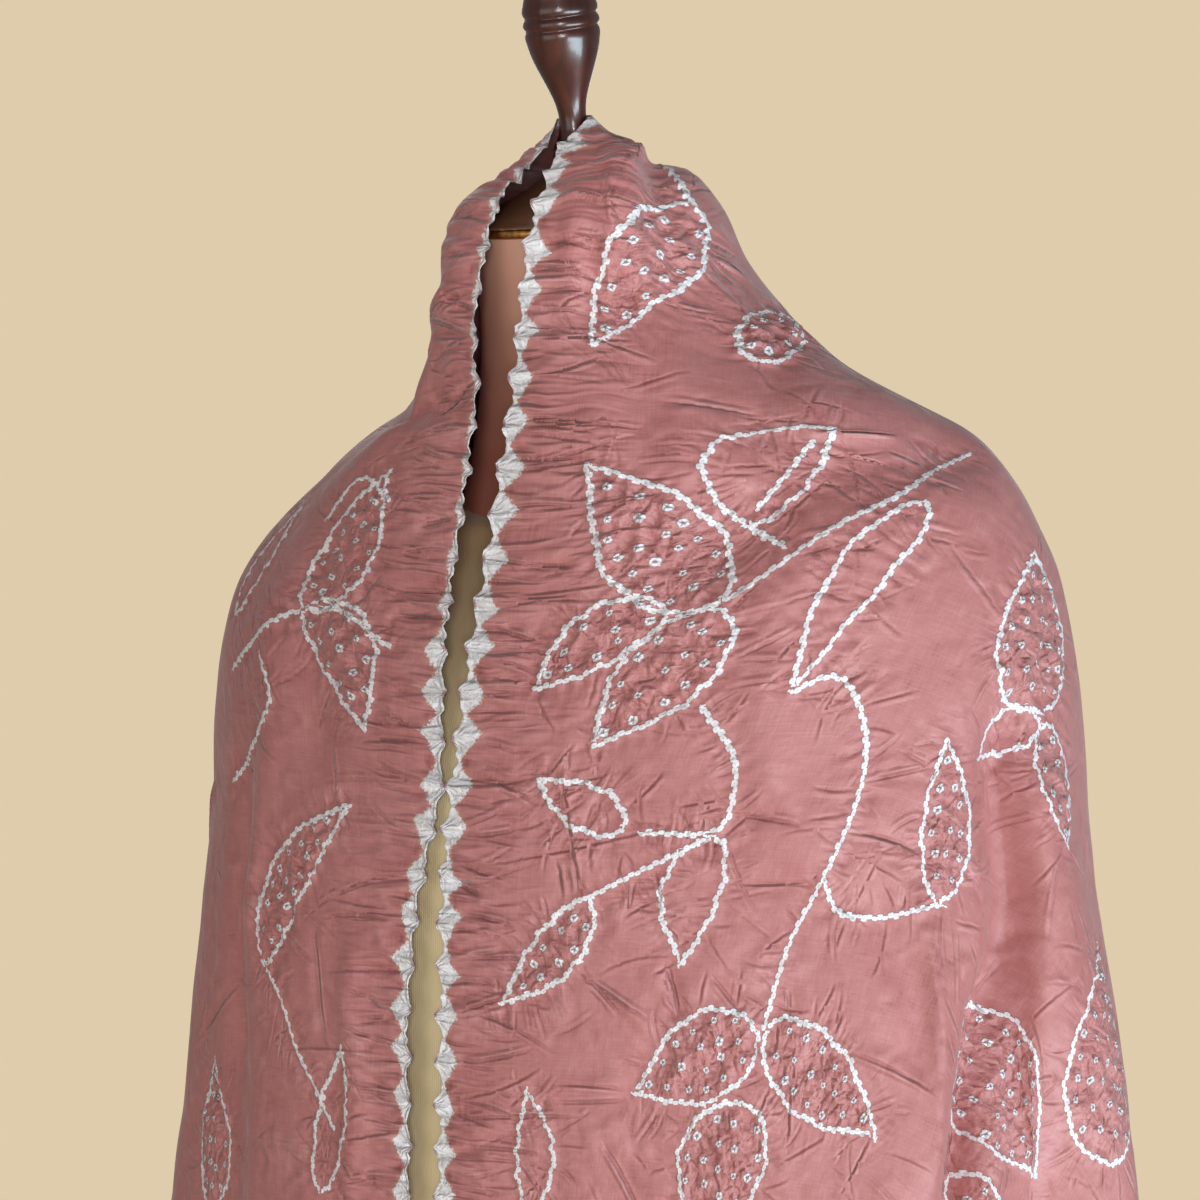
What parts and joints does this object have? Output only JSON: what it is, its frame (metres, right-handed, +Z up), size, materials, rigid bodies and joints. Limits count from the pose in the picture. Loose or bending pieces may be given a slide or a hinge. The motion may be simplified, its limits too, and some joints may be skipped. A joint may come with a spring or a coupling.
{
  "type": "dupatta stole on a dress form",
  "caption": "Rose tie-dyed silk dupatta stole with a white scalloped edge, draped open-fronted over a limbless dress form on a turned wooden stand.",
  "frame": {"origin": "centre of the stand base's underside, on the floor", "axes": "+Z up; the form faces -Y and +X is its left side"},
  "size_m": [0.6618, 0.3869, 1.614],
  "materials": {
    "silk": "softly lustrous crinkled silk",
    "jersey": "matt knitted cover",
    "skin_paint": "matt paint",
    "dark_wood": "glossy dark stain",
    "brass": "aged satin"
  },
  "bodies": {
    "root": {"base": "dark_wood", "pole_lower": "dark_wood", "pole_collar": "brass", "pole_upper": "dark_wood", "torso_plate": "dark_wood", "torso": "jersey", "neck": "skin_paint", "neck_rim": "brass", "neck_cap": "dark_wood", "finial": "dark_wood", "stole_neck": "silk", "stole_left_front": "silk", "stole_back": "silk", "stole_right_front": "silk"}
  },
  "joints": []
}
